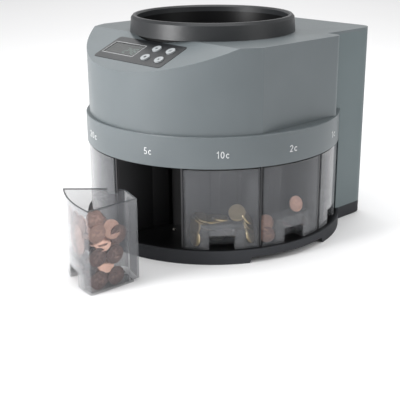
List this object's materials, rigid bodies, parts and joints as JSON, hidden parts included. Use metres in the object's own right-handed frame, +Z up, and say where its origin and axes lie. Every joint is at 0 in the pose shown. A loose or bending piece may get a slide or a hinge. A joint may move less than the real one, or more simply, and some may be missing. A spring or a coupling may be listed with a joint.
{
  "type": "coin sorting machine",
  "caption": "Round-drum coin sorter with pull-out smoked coin cups in radial bays, a hopper with a turning sorting disc on top and a rear block for the electrics.",
  "frame": {"origin": "on the drum's axis at the floor, under the central rubber foot", "axes": "+Z up, front of the drum towards -Y, rear block towards +Y"},
  "size_m": [0.3284, 0.4279, 0.266],
  "materials": {
    "housing_plastic": "fine satin moulding",
    "block_plastic": "fine satin moulding",
    "dark_plastic": "satin moulding",
    "black_plastic": "glossy moulding",
    "pale_plastic": "moulded",
    "rubber": "matt",
    "cup_plastic": "smoked clear moulding",
    "panel_plastic": "fine texture",
    "display_glass": "tinted clear",
    "bowl_plastic": "polished inside",
    "disc_metal": "brushed",
    "steel": "turned",
    "steel_sheet": "zinc plated sheet",
    "bronze": "machined",
    "gear_plastic": "moulded",
    "motor_can": "painted can",
    "board": "solder resist",
    "rocker_plastic": "glossy",
    "button_rubber": "soft touch"
  },
  "bodies": {
    "machine": {"base_skirt": "dark_plastic", "bay_tray": "black_plastic", "bottom_cover": "black_plastic", "rubber_feet": "rubber", "core_column": "black_plastic", "bay_dividers": "black_plastic", "cup_locators": "pale_plastic", "label_ring": "housing_plastic", "deck_plate": "black_plastic", "upper_shell": "housing_plastic", "top_cover": "housing_plastic", "control_panel": "panel_plastic", "display_window": "display_glass", "display_module": "black_plastic", "keypad_board": "board", "rear_housing": "block_plastic", "housing_screws": "steel", "hopper_rim": "panel_plastic", "hopper_bowl": "bowl_plastic", "sorting_rail": "disc_metal", "upper_bearing": "bronze", "lower_bearing": "bronze", "rail_posts": "steel", "coin_chutes": "black_plastic", "coin_sensors": "black_plastic", "motor": "motor_can", "motor_bracket": "steel", "power_supply": "steel_sheet", "main_board": "board", "board_components": "black_plastic", "board_standoffs": "bronze", "power_inlet": "black_plastic", "inlet_pins": "bronze", "switch_frame": "black_plastic", "data_port": "steel"},
    "rotor": {"sorting_disc": "disc_metal", "disc_cap": "panel_plastic", "spindle": "steel", "drive_gear": "gear_plastic"},
    "pinion": {"motor_pinion": "bronze", "motor_shaft": "steel"},
    "power_rocker": {"switch_rocker": "rocker_plastic"},
    "start_button": {"button_start": "button_rubber"},
    "stop_button": {"button_stop": "button_rubber"},
    "count_button": {"button_count": "button_rubber"},
    "clear_button": {"button_clear": "button_rubber"},
    "cup_of_2_euro": {"cup_2_euro": "cup_plastic"},
    "cup_of_50_cent": {"cup_50_cent": "cup_plastic"},
    "cup_of_1_euro": {"cup_1_euro": "cup_plastic"},
    "cup_of_20_cent": {"cup_20_cent": "cup_plastic"},
    "cup_of_5_cent": {"cup_5_cent": "cup_plastic"},
    "cup_of_10_cent": {"cup_10_cent": "cup_plastic"},
    "cup_of_2_cent": {"cup_2_cent": "cup_plastic"},
    "cup_of_1_cent": {"cup_1_cent": "cup_plastic"}
  },
  "joints": [
    {"name": "disc_spin", "type": "hinge", "parent": "machine", "child": "rotor", "pos_m": [0, 0, 0.19], "axis": [0, 0, 1], "continuous": true},
    {"name": "pinion_spin", "type": "hinge", "parent": "machine", "child": "pinion", "pos_m": [0, 0.045, 0.128], "axis": [0, 0, 1], "continuous": true},
    {"name": "rocker_tilt", "type": "hinge", "parent": "machine", "child": "power_rocker", "pos_m": [-0.046, 0.1576, 0.042], "axis": [1, 0, 0], "range_deg": [-14, 0]},
    {"name": "start_press", "type": "slide", "parent": "machine", "child": "start_button", "axis": [0, 0.3907, -0.9205], "range_m": [0, 0.0014], "stiffness_N_per_m": 600},
    {"name": "stop_press", "type": "slide", "parent": "machine", "child": "stop_button", "axis": [0, 0.3907, -0.9205], "range_m": [0, 0.0014], "stiffness_N_per_m": 600},
    {"name": "count_press", "type": "slide", "parent": "machine", "child": "count_button", "axis": [0, 0.3907, -0.9205], "range_m": [0, 0.0014], "stiffness_N_per_m": 600},
    {"name": "clear_press", "type": "slide", "parent": "machine", "child": "clear_button", "axis": [0, 0.3907, -0.9205], "range_m": [0, 0.0014], "stiffness_N_per_m": 600},
    {"name": "pull_2_euro", "type": "slide", "parent": "machine", "child": "cup_of_2_euro", "axis": [-0.9033, 0.4289, 0], "range_m": [0, 0.08]},
    {"name": "pull_50_cent", "type": "slide", "parent": "machine", "child": "cup_of_50_cent", "axis": [-0.9941, -0.1089, 0], "range_m": [0, 0.08]},
    {"name": "pull_1_euro", "type": "slide", "parent": "machine", "child": "cup_of_1_euro", "axis": [-0.7688, -0.6394, 0], "range_m": [0, 0.08]},
    {"name": "pull_20_cent", "type": "slide", "parent": "machine", "child": "cup_of_20_cent", "axis": [-0.2882, -0.9576, 0], "range_m": [0, 0.08]},
    {"name": "lift_5_cent", "type": "slide", "parent": "machine", "child": "cup_of_5_cent", "axis": [0, 0, 1], "range_m": [0, 0.14]},
    {"name": "pull_10_cent", "type": "slide", "parent": "machine", "child": "cup_of_10_cent", "axis": [0.7688, -0.6394, 0], "range_m": [0, 0.08]},
    {"name": "pull_2_cent", "type": "slide", "parent": "machine", "child": "cup_of_2_cent", "axis": [0.9941, -0.1089, 0], "range_m": [0, 0.08]},
    {"name": "pull_1_cent", "type": "slide", "parent": "machine", "child": "cup_of_1_cent", "axis": [0.9033, 0.4289, 0], "range_m": [0, 0.08]}
  ],
  "couplings": [
    {"joint": "pinion_spin", "follows": "disc_spin", "ratio": -4}
  ]
}
